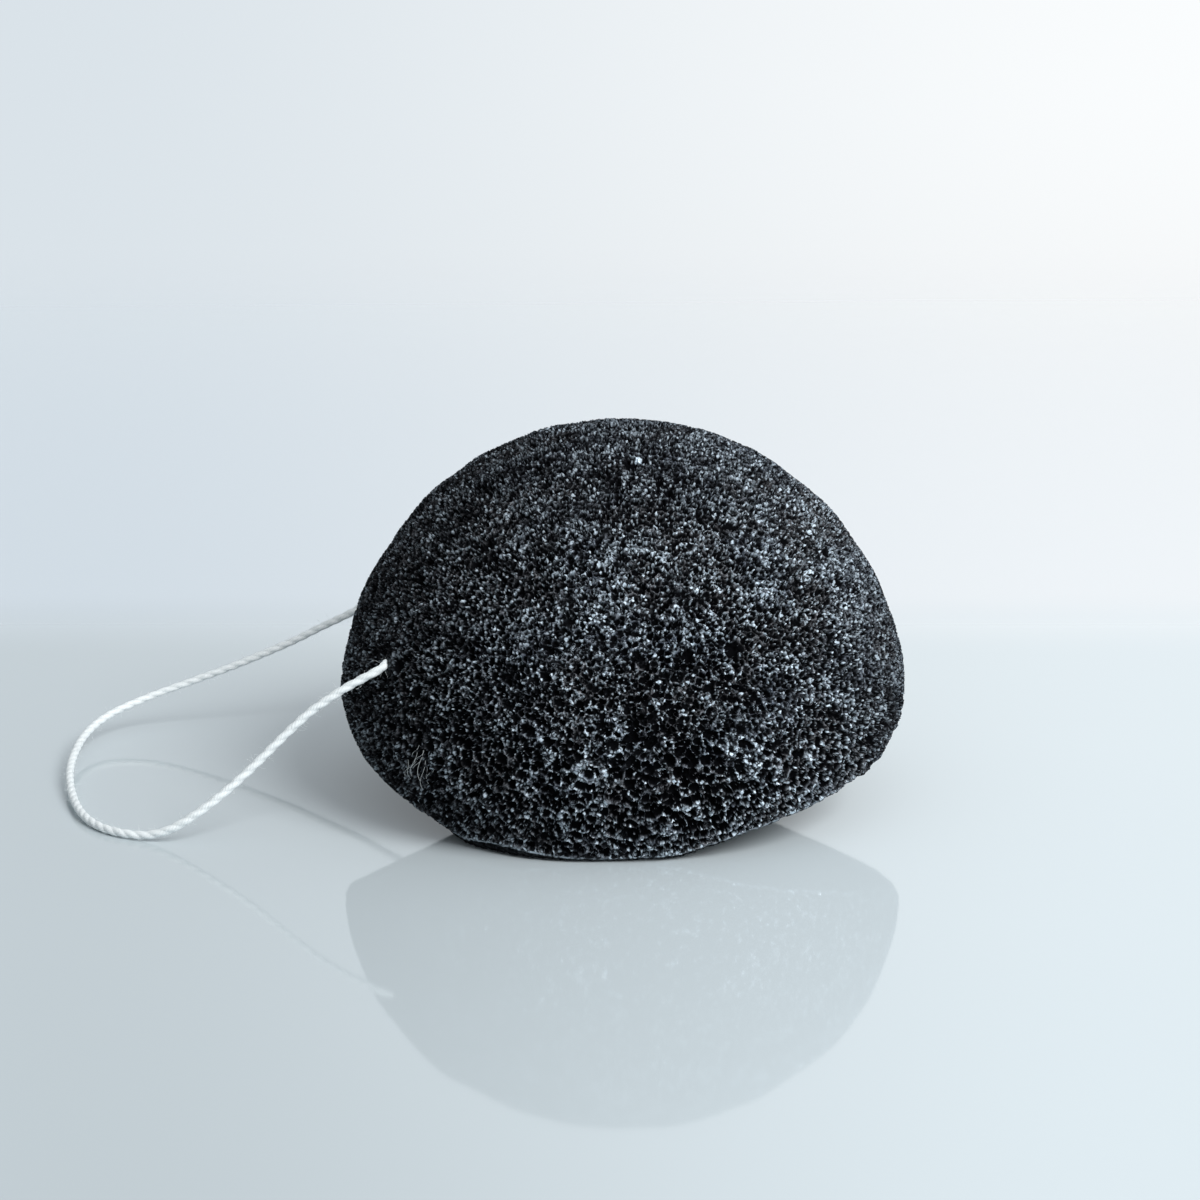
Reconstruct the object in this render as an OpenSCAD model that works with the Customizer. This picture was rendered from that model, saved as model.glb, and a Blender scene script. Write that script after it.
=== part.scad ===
// Half-ball foam sponge with a cotton hanging loop through its left flank.
// It stands on the plane z = 0, its front faces -Y and the loop lies towards -X.

/* [Foam body] */
// Diameter of the half ball at its widest level
ball_d = 75; // [70:0.5:80]
// Height of the crown above the table
body_h = 48.8; // [45:0.2:53]
// Height of the widest level above the table
widest_h = 13.3; // [11:0.1:16]
// How far the wall tucks in from the widest level down to the table
tuck = 5.5; // [3:0.1:7]
// How far the crown leans to the back
crown_lean = 7.5; // [4:0.1:9]

/* [Rim and underside] */
// Mean height of the rim above the table
rim_mid_h = 11.3; // [10.5:0.1:12.5]
// Half the rise of the rim from its front to its back
rim_rise = 9.5; // [8.5:0.1:10]
// How far the left and right of the rim curl up
rim_curl = 2.6; // [1.5:0.1:3]
// How far the rim is twisted, its left front down and its right front up
rim_twist = 1.6; // [0:0.1:2]
// Least height of the rim above the table
rim_low = 0.3; // [0.2:0.1:0.8]
// How far the bulge of the underside is pressed flat by the table
seat_sink = 2.5; // [1.5:0.1:4]

/* [String channel] */
// How deep inside the left flank the channel runs
channel_cover = 7.5; // [6.5:0.5:9.5]
// Height of the channel above the table
channel_h = 22; // [20:0.5:24]
// Clearance all round the string inside the channel
channel_gap = 0.05; // [0.02:0.01:0.09]
// Depth of the pucker at the front mouth
front_mouth_depth = 2.4; // [2:0.1:3]
// Width of the pucker at the front mouth
front_mouth_d = 2.6; // [2.2:0.1:3.2]
// Depth of the hollow at the back mouth, where the knot beds in
back_mouth_depth = 3; // [2.5:0.1:4]
// Clearance round the knot in that hollow
knot_side_gap = 0.5; // [0.4:0.1:0.8]

/* [String] */
// Thickness of the two-ply string
string_d = 1.1; // [0.9:0.05:1.2]
// How far the string can be drawn forward before its knot meets the foam
draw_travel = 2; // [1:0.1:2.5]
// Space left between the knot and the mouth when the string is drawn forward
knot_gap = 0.4; // [0.3:0.1:0.8]
// Radius of the knot's turns, at the middle of the string
knot_turn_r = 1.15; // [1:0.05:1.3]
// Number of turns in the knot
knot_turns = 3; // [2:1:4]

/* [Hidden] */

// Facets round the foam body, up its wall and across its underside
round_steps = 60;
wall_steps = 13;
belly_steps = 4;
// Shape of the lean and of the bulge: 1 is a straight line, more starts gently
lean_power_share = 1.5;
belly_power_share = 1.15;
// Sides of the string's tube and rings in each stretch between two route points
string_sides = 8;
rings_per_stretch = 2;
round_fn = 48;
// Turns of the knot lie this share of the string's thickness apart
knot_pitch_share = 0.9;
// Cuts run this far past what they cut
overrun = 1;
// How far inside the front mouth the straight run of string ends
bend_room = 0.8;
// How far each mouth's cone runs on past the wall, which slants away from it
mouth_reach = 5;
// Colours of the foam and of the string
foam_colour = [0.12, 0.12, 0.13];
string_colour = [0.93, 0.92, 0.88];

ball_r = ball_d / 2;
dome_h = body_h - widest_h;
channel_x = channel_cover - ball_r;
channel_d = string_d + 2 * channel_gap;
knot_pitch = knot_pitch_share * string_d;
knot_l = (knot_turns - 1) * knot_pitch + string_d;
knot_d = 2 * knot_turn_r + string_d;
back_mouth_d = knot_d + 2 * knot_side_gap;

// Height of the rim at an angle round the ball, 270 degrees being the front
function rim_z(angle) = max(rim_low,
    rim_mid_h + rim_rise * sin(angle) + rim_curl * cos(2 * angle) - rim_twist * sin(2 * angle));

// Radius of the wall and backward lean of its middle at a height
function wall_r(z) =
    z > widest_h ? ball_r * sqrt(max(0, 1 - pow((z - widest_h) / dome_h, 2)))
                 : ball_r - tuck * pow((widest_h - z) / widest_h, 2);
function lean_y(z) = crown_lean * pow(max(0, (z - widest_h) / dome_h), lean_power_share);
function wall_point(angle, z) = [wall_r(z) * cos(angle), wall_r(z) * sin(angle) + lean_y(z), z];

// A point of the wall, from the rim at 0 to the crown at 1
function dome_point(angle, up) =
    wall_point(angle, rim_z(angle) + (body_h - rim_z(angle)) * sin(90 * up));

// Share of the way from the middle to the rim that lies flat on the table
function seat_share(angle) = pow(seat_sink / (rim_z(angle) + seat_sink), 1 / belly_power_share);

// A point of the underside, from the edge of its flat seat at 0 to the rim at 1
function belly_point(angle, out) =
    let (rim = wall_point(angle, rim_z(angle)), share = seat_share(angle) + (1 - seat_share(angle)) * out)
    [rim.x * share, rim.y * share, -seat_sink + (rim.z + seat_sink) * pow(share, belly_power_share)];

// Where the channel leaves the wall: side is -1 at the front and 1 at the back
function mouth_y(side) =
    lean_y(channel_h) + side * sqrt(pow(wall_r(channel_h), 2) - pow(channel_x, 2));

run_front_y = mouth_y(-1) + bend_room;
run_back_y = mouth_y(1) + draw_travel + knot_gap;
knot_back_y = run_back_y + knot_l;

// Route of the hanging loop, from the front of the channel round to the knot
loop_route = [
    [channel_x, run_front_y, channel_h],
    [channel_x, mouth_y(-1), channel_h],
    [-30.2, -20.4, 21.9], [-30.8, -21, 21.5], [-31.8, -21.3, 21], [-33.3, -21.4, 20.2],
    [-35.3, -21.6, 19.1], [-37.6, -21.8, 17.6], [-39.8, -22, 16], [-43.2, -22.6, 12.9],
    [-46.6, -23.3, 9.6], [-49.9, -24.2, 6.7], [-53.2, -24.9, 4.2], [-56.7, -25, 2],
    [-60.2, -24.2, 0.8], [-63.9, -22.6, 0.6], [-67.2, -19.8, 0.6], [-70.2, -15.3, 0.8],
    [-72.9, -8.3, 1.1], [-75.1, 0.3, 1.6], [-76.2, 8.9, 2.1], [-76.1, 17.5, 2.8],
    [-74, 24, 3.7], [-69.5, 28.3, 5], [-63.8, 30, 6.8], [-57.9, 30.5, 8.9],
    [-51.9, 30.8, 11.3], [-48, 31, 13], [-44, 31.1, 15], [-40, 31.2, 16.9],
    [-37, 31.3, 18.6], [-34.6, 31.3, 20], [-32.4, 31, 21.2], [-30.9, 30.1, 21.9],
    [channel_x, knot_back_y + string_d, channel_h],
    [channel_x, knot_back_y, channel_h]
];
// Routes of the knot's two loose tails, from inside the knot to their cut ends
tail_long_route = [
    [-29.8, 25.2, 21.7], [-29.2, 26.6, 20.9], [-28.5, 28.3, 20.3], [-27.7, 30, 19.8], [-26.9, 31.7, 19.4],
    [-26.1, 33.3, 19.3]
];
tail_short_route = [
    [-30.1, 25.8, 22.5], [-30.5, 26.8, 23.5], [-30.9, 28.3, 24.2], [-31.3, 30, 24.4], [-31.8, 31.6, 24]
];

// Points of a smooth curve through a route
function curve_point(p, i, t) =
    let (a = p[max(i - 1, 0)], b = p[i], c = p[i + 1], d = p[min(i + 2, len(p) - 1)])
    b + (c - a) * t / 2 + (a - 2.5 * b + 2 * c - d / 2) * t * t
      + (1.5 * b - 1.5 * c + d / 2 - a / 2) * t * t * t;
function smooth_route(p) = concat(
    [for (i = [0:len(p) - 2], k = [0:rings_per_stretch - 1]) curve_point(p, i, k / rings_per_stretch)],
    [p[len(p) - 1]]);
function unit(v) = v / norm(v);
// Direction of the curve at ring i: its two ends stay square to the route's own ends
function heading(route, curve, i) =
    i == 0 ? unit(route[1] - route[0])
    : i == len(curve) - 1 ? unit(route[len(route) - 1] - route[len(route) - 2])
    : unit(curve[i + 1] - curve[i - 1]);
// One ring of a tube: turned_from is any direction that the tube never runs along
function ring(centre, along, turned_from, r) =
    let (side = unit(cross(along, turned_from)), over = cross(side, along))
    [for (k = [0:string_sides - 1])
        centre + r * (side * cos(360 * k / string_sides) + over * sin(360 * k / string_sides))];
function between(a, b) = [for (k = [0:string_sides - 1]) let (n = (k + 1) % string_sides)
    each [[a + k, b + k, b + n], [a + k, b + n, a + n]]];

module tube(route, turned_from, d) {
    curve = smooth_route(route);
    last = (len(curve) - 1) * string_sides;
    polyhedron(
        points = [for (i = [0:len(curve) - 1])
            each ring(curve[i], heading(route, curve, i), turned_from, d / 2)],
        faces = concat(
            [[for (k = [0:string_sides - 1]) k]],
            [for (i = [0:len(curve) - 2]) each between(i * string_sides, (i + 1) * string_sides)],
            [[for (k = [string_sides - 1:-1:0]) last + k]]));
}

// A round solid that lies along +Y, from one diameter to another
module along_y(from_y, to_y, from_d, to_d) {
    translate([channel_x, from_y, channel_h]) rotate([-90, 0, 0])
        cylinder(d1 = from_d, d2 = to_d, h = to_y - from_y, $fn = round_fn);
}

// The half ball, its underside bulging and pressed flat in the middle, before it is threaded
module foam_form() {
    angles = [for (k = [0:round_steps - 1]) 360 * k / round_steps];
    rings = concat(
        [for (j = [0:belly_steps]) [for (angle = angles) belly_point(angle, j / belly_steps)]],
        [for (j = [1:wall_steps - 1]) [for (angle = angles) dome_point(angle, j / wall_steps)]]);
    points = concat([for (one = rings) each one], [[0, 0, 0], [0, crown_lean, body_h]]);
    middle = len(points) - 2;
    crown = len(points) - 1;
    top = (len(rings) - 1) * round_steps;
    polyhedron(points = points, faces = concat(
        [for (k = [0:round_steps - 1]) [middle, k, (k + 1) % round_steps]],
        [for (j = [0:len(rings) - 2], k = [0:round_steps - 1])
            let (a = j * round_steps, b = a + round_steps, n = (k + 1) % round_steps)
            each [[a + k, b + k, b + n], [a + k, b + n, a + n]]],
        [for (k = [0:round_steps - 1]) [crown, top + (k + 1) % round_steps, top + k]]));
}

// A pucker at a mouth: side is -1 at the front and 1 at the back
module mouth(side, depth, wide_d) {
    out_d = wide_d + (wide_d - channel_d) * mouth_reach / depth;
    if (side < 0) along_y(mouth_y(side) - mouth_reach, mouth_y(side) + depth, out_d, channel_d);
    else along_y(mouth_y(side) - depth, mouth_y(side) + mouth_reach, channel_d, out_d);
}

module sponge_body() {
    color(foam_colour) difference() {
        foam_form();
        along_y(mouth_y(-1) - overrun, mouth_y(1) + overrun, channel_d, channel_d);
        mouth(-1, front_mouth_depth, front_mouth_d);
        mouth(1, back_mouth_depth, back_mouth_d);
    }
}

module cord_threaded_run() {
    color(string_colour) along_y(run_front_y, run_back_y, string_d, string_d);
}

module cord_loop() {
    color(string_colour) tube(loop_route, [0, 0, 1], string_d);
}

// The knot's turns lie side by side round a core
module cord_knot() {
    color(string_colour) translate([channel_x, run_back_y, channel_h]) rotate([-90, 0, 0])
        rotate_extrude($fn = round_fn) {
            square([knot_turn_r, knot_l]);
            for (i = [0:knot_turns - 1])
                translate([knot_turn_r, string_d / 2 + i * knot_pitch]) circle(d = string_d, $fn = round_fn);
        }
}

module cord_tail_long() {
    color(string_colour) tube(tail_long_route, [0, 0, 1], string_d);
}

module cord_tail_short() {
    color(string_colour) tube(tail_short_route, [1, 0, 0], string_d);
}

sponge_body();
cord_threaded_run();
cord_loop();
cord_knot();
cord_tail_long();
cord_tail_short();
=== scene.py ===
import math

import bpy
import numpy as np
from bpy.props import FloatProperty, FloatVectorProperty, PointerProperty
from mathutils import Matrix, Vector


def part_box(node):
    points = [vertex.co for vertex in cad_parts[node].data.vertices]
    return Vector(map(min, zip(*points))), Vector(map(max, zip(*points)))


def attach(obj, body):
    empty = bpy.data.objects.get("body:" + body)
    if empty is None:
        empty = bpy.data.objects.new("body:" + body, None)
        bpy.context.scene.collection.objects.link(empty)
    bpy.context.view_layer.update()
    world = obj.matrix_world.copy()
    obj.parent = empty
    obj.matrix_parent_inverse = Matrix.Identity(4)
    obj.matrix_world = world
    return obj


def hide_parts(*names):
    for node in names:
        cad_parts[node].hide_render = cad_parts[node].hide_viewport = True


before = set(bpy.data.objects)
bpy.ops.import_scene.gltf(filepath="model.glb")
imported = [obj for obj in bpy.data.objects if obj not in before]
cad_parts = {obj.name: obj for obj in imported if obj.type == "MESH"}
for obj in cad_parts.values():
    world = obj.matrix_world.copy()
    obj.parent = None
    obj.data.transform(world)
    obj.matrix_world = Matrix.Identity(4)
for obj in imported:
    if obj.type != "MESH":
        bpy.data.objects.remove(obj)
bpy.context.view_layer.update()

bl_info = {
    "name": "Half Ball Foam Sponge",
    "version": (1, 0, 0),
    "blender": (4, 5, 0),
    "location": "3D View > Sidebar > Sponge",
    "description": "Makes a charcoal foam sponge and its cotton hanging loop round their packed frame",
    "category": "Object",
}

MM = 0.001

# The foam body's outline, as the part's source has it
BALL_R = 37.5 * MM
BODY_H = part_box("sponge_body")[1].z
WIDEST_H = 13.3 * MM
TUCK = 5.5 * MM
CROWN_LEAN = 7.5 * MM
RIM_MID_H = 11.3 * MM
RIM_RISE = 9.5 * MM
RIM_CURL = 2.6 * MM
RIM_TWIST = 1.6 * MM
RIM_LOW = 0.3 * MM
SEAT_SINK = 2.5 * MM
LEAN_POWER = 1.5
BELLY_POWER = 1.15
DOME_H = BODY_H - WIDEST_H

# Places round the ball are given as an angle and a width in degrees.
# The rim was cut by hand: where, and how far it is raised there
RIM_BUMPS = ((237, 8, -1.5 * MM), (297, 11, 0.75 * MM), (333, 13, -1.3 * MM))
# The rim is torn in waves that go this many times round the ball, and deeper at one place
TORN_WAVES = (23, 41, 67)
TORN_DEPTH = 0.1 * MM
TORN_MORE = 0.7 * MM
TORN_PLACE = (338, 16)
# The foot stands further out at the left of the front, and more so the lower it is
FOOT_BUMP = (250, 17, 1.7 * MM)
FOOT_POWER = 6
# The rim is rounded more at the sides and the back, changing between two angles from the front
FRONT_ANGLE = 270
FRONT_ROUNDING = 0.1 * MM
SIDE_ROUNDING = 1.8 * MM
ROUNDING_CHANGE = (50, 80)
# A band of smooth skin stands below the cells, higher at two places, with a pale edge at two. The band and
# the underside below it are painted black: a painted shadow.
SHADOW_BAND_H = 0.25 * MM
SHADOW_BAND_BUMPS = ((241, 12, 1.1 * MM), (284, 9, 0.3 * MM))
PALE_EDGES = ((246, 20, 1.0), (297, 14, 0.8))
# The walls of the cells stand this far out, because their tops lie below it here and there
SWELL = 0.3 * MM
# How uneven the cells are, and where they are coarse: from and to, towards the front and upwards
CELL_BEND = 0.7 * MM
CELL_UNEVENNESS = 0.95
COARSE_FRONT = (5 * MM, 30 * MM)
COARSE_TOP = (8 * MM, 24 * MM)

# The string and its channel
STRING_D = 1.1 * MM
CHANNEL_LOW, CHANNEL_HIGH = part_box("cord_threaded_run")
CHANNEL_X = (CHANNEL_LOW.x + CHANNEL_HIGH.x) / 2
CHANNEL_Z = (CHANNEL_LOW.z + CHANNEL_HIGH.z) / 2
RUN_FRONT_Y = CHANNEL_LOW.y
RUN_BACK_Y = CHANNEL_HIGH.y
BEND_ROOM = 0.8 * MM
FRONT_MOUTH_Y = RUN_FRONT_Y - BEND_ROOM
MOUTH_PLACE = (CHANNEL_X, FRONT_MOUTH_Y, CHANNEL_Z)
KNOT_TURN_R = 1.15 * MM
KNOT_TURNS = 3
KNOT_PITCH = 0.9 * STRING_D
KNOT_BACK_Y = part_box("cord_knot")[1].y
# The knot's last strand crosses over its turns in this share of a turn, this far above them
CROSSING_TURN = 0.8
CROSSING_RISE = 0.85 * STRING_D

# The back mouth's dimple with its flat middle, and the shallow hollow round it
DIMPLE_DEPTH = 3.2 * MM
DIMPLE_FLAT_R = 1.9 * MM
DIMPLE_R = 3.5 * MM
HOLLOW_DEPTH = 0.3 * MM
HOLLOW_R = 3.5 * MM
# The front mouth's fold of foam to the right of the string, and the upright crease to its left
FOLD_OFF = 1.1 * MM
FOLD_OUT = 0.95 * MM
FOLD_W = 0.95 * MM
FOLD_H = 1.6 * MM
CREASE_OFF = -0.3 * MM
CREASE_DEPTH = 0.4 * MM
CREASE_W = 0.9 * MM
CREASE_H = 5 * MM
# The skin is drawn smooth this far round the front mouth
SMOOTH_MOUTH_R = 1.3 * MM

# Route of the hanging loop in millimetres, the same points as in the part's source
LOOP_POINTS = [
    (-30.2, -20.4, 21.9), (-30.8, -21, 21.5), (-31.8, -21.3, 21), (-33.3, -21.4, 20.2),
    (-35.3, -21.6, 19.1), (-37.6, -21.8, 17.6), (-39.8, -22, 16), (-43.2, -22.6, 12.9),
    (-46.6, -23.3, 9.6), (-49.9, -24.2, 6.7), (-53.2, -24.9, 4.2), (-56.7, -25, 2),
    (-60.2, -24.2, 0.8), (-63.9, -22.6, 0.6), (-67.2, -19.8, 0.6), (-70.2, -15.3, 0.8),
    (-72.9, -8.3, 1.1), (-75.1, 0.3, 1.6), (-76.2, 8.9, 2.1), (-76.1, 17.5, 2.8),
    (-74, 24, 3.7), (-69.5, 28.3, 5), (-63.8, 30, 6.8), (-57.9, 30.5, 8.9),
    (-51.9, 30.8, 11.3), (-48, 31, 13), (-44, 31.1, 15), (-40, 31.2, 16.9),
    (-37, 31.3, 18.6), (-34.6, 31.3, 20), (-32.4, 31, 21.2), (-30.9, 30.1, 21.9),
]
TAIL_LONG_POINTS = [
    (-29.8, 25.2, 21.7), (-29.2, 26.6, 20.9), (-28.5, 28.3, 20.3),
    (-27.7, 30, 19.8), (-26.9, 31.7, 19.4), (-26.1, 33.3, 19.3),
]
TAIL_SHORT_POINTS = [
    (-30.1, 25.8, 22.5), (-30.5, 26.8, 23.5), (-30.9, 28.3, 24.2), (-31.3, 30, 24.4), (-31.8, 31.6, 24),
]

# Loose fibres: how thick, how many to a millimetre of string, and how many at each cut end
HAIR_D = 0.022 * MM
LOOP_HAIRS = 16.0
KNOT_HAIRS = 12.0
TAIL_HAIRS = 30.0
END_HAIRS = 90
# A tuft of stray fibres low on the left and a speck of lint on the crown
TUFT_PLACE = (-24.9 * MM, -26.6 * MM, 10.4 * MM)
TUFT_R = 2.3 * MM
TUFT_HAIR_D = 0.036 * MM
LINT_PLACE = (1.9 * MM, -7.8 * MM, 46 * MM)

# How light the walls are painted: from and to along X or Z, then the share at each. Darker at the left flank
# and the foot, as painted shade; duller at the far right and the crown.
PAINTED_SHADE_AT_LEFT = (-36 * MM, 14 * MM, 0.26, 1.0)
LIGHT_TO_RIGHT = (22 * MM, 36 * MM, 1.0, 0.28)
LIGHT_TO_CROWN = (28 * MM, 46 * MM, 1.0, 0.5)
PAINTED_SHADE_AT_FOOT = (0.0, 20 * MM, 0.86, 1.0)
# The walls are thinner at the left, as shares of a cell, and browner there
WALL_WIDTH = (-32 * MM, -6 * MM, 0.1, 0.15)
BROWN_AT_LEFT = (-32 * MM, -10 * MM, 0.1, 1.0)
# Noises painted on the foam and the specks of its painted highlights, counted to the metre
PATCHES = 1600.0
CLOUDS = 190.0
BROWN_CLOUDS = 120.0
CLUMPS = 230.0
STROKES = 1800.0
STROKE_GATES = 1000.0
SPECKS = 2900.0
FLAKES = 1700.0

# Depth and width on the baked map: the dome as one disc, the underside as a smaller one, as shares of the map
DOME_MIDDLE, DOME_DISC_R = 0.38, 0.36
BELLY_MIDDLE, BELLY_DISC_R = 0.86, 0.125

# The camera, fitted to the sponge's outline and its reflection in the table
CAMERA_PLACE = (-3.05 * MM, -320.65 * MM, 96.07 * MM)
CAMERA_PITCH = math.radians(12.35)
CAMERA_LENS = 73.7

# The table: where its gloss ends, where it fades away behind, and how it fades with distance all round
TABLE_REACH = 6.0
TABLE_EDGE_Y = 86 * MM
EDGE_CHANGE = (TABLE_EDGE_Y - 12 * MM, TABLE_EDGE_Y + 40 * MM)
FADE_BACK = (TABLE_EDGE_Y, 1.0, 1.0, 0.0)
FADE_ROUND = (0.7, 1.8, 1.0, 0.0)
# The table's shades change from left to right over this slope, lighter towards the right as painted light,
# fanning out from a line in front of the sponge; the surroundings' colours change over the same slope.
FAN_Y = -320.65 * MM
ACROSS = (-0.26, 0.26)

# The soft light: the way it shines and how wide it is, then the even light's share from the left to the right
# and from the front to the back
SUN_WAY = (-0.66, 0.68, -0.8)
SUN_WIDTH = math.radians(30)
SKY_ACROSS = (-1.0, 1.0, 0.25, 1.7)
SKY_ALONG = (-1.0, 1.0, 1.5, 0.5)
SKY_COLOUR = (0.9, 0.95, 1.0, 1.0)


# Sizes and colours that a user may change

class FoamSettings(bpy.types.PropertyGroup):
    """Sizes and colours of the foam body."""

    mesh_step: FloatProperty(
        name="Mesh Step", description="Distance between the mesh's points",
        default=0.16 * MM, min=0.05 * MM, subtype="DISTANCE", unit="LENGTH")
    cell_size: FloatProperty(
        name="Cell Size", description="Mean size of the cells on the dome",
        default=0.8 * MM, subtype="DISTANCE", unit="LENGTH")
    coarse_cell_size: FloatProperty(
        name="Coarse Cell Size", description="Mean size of the cells low on the front",
        default=1.12 * MM, subtype="DISTANCE", unit="LENGTH")
    fine_cell_size: FloatProperty(
        name="Fine Cell Size", description="Mean size of the small cells in the walls of the larger ones",
        default=0.42 * MM, subtype="DISTANCE", unit="LENGTH")
    cell_depth: FloatProperty(
        name="Cell Depth", description="How deep the deepest cells go",
        default=0.95 * MM, subtype="DISTANCE", unit="LENGTH")
    wall_colour: FloatVectorProperty(
        name="Wall Colour", description="Colour of the cells' outer edges",
        default=(0.094, 0.116, 0.164), size=3, min=0, max=1, subtype="COLOR")
    warm_colour: FloatVectorProperty(
        name="Warm Colour", description="Colour of the cells' outer edges where the foam is browner",
        default=(0.116, 0.108, 0.12), size=3, min=0, max=1, subtype="COLOR")
    # Painted shade inside the cells, over the foam's own dark colour
    pit_shade_colour: FloatVectorProperty(
        name="Pit Colour", description="Colour deep inside the cells",
        default=(0.0035, 0.0037, 0.0045), size=3, min=0, max=1, subtype="COLOR")
    # The colour of the painted highlights
    glint_colour: FloatVectorProperty(
        name="Glint Colour", description="Colour of the bright specks on the cells' edges",
        default=(0.74, 0.88, 1.0), size=3, min=0, max=1, subtype="COLOR")


class StringSettings(bpy.types.PropertyGroup):
    """Sizes and colours of the cotton string."""

    ply_share: FloatProperty(
        name="Ply Share", description="Thickness of one ply, as a share of the string's thickness",
        default=0.8, min=0.4, max=0.95)
    twist_pitch: FloatProperty(
        name="Twist Pitch", description="Length in which a ply goes once round the string",
        default=3.7 * MM, subtype="DISTANCE", unit="LENGTH")
    ring_step: FloatProperty(
        name="Ring Step", description="Distance between the rings of a ply's mesh",
        default=0.2 * MM, subtype="DISTANCE", unit="LENGTH")
    colour: FloatVectorProperty(
        name="Colour", description="Colour of the cotton",
        default=(0.94, 0.985, 0.985), size=3, min=0, max=1, subtype="COLOR")
    # Painted shade between the fibres and in the grooves between the plies
    crease_shade_colour: FloatVectorProperty(
        name="Crease Colour", description="Colour between the fibres and between the plies",
        default=(0.68, 0.74, 0.76), size=3, min=0, max=1, subtype="COLOR")


class StageSettings(bpy.types.PropertyGroup):
    """Colours and light of the table and the backdrop."""

    table_colour: FloatVectorProperty(
        name="Table Colour", description="Colour of the glossy table",
        default=(0.61, 0.675, 0.70), size=3, min=0, max=1, subtype="COLOR")
    left_colour: FloatVectorProperty(
        name="Left Colour", description="Colour of the pale surroundings at the left",
        default=(0.70, 0.765, 0.815), size=3, min=0, max=1, subtype="COLOR")
    right_colour: FloatVectorProperty(
        name="Right Colour", description="Colour of the pale surroundings at the right",
        default=(0.96, 0.98, 0.99), size=3, min=0, max=1, subtype="COLOR")
    sun_strength: FloatProperty(
        name="Sun Strength", description="Strength of the soft light from the upper right",
        default=2.25, min=0)
    sky_strength: FloatProperty(
        name="Sky Strength", description="Strength of the even light from all round",
        default=0.53, min=0)


# Node trees

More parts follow.
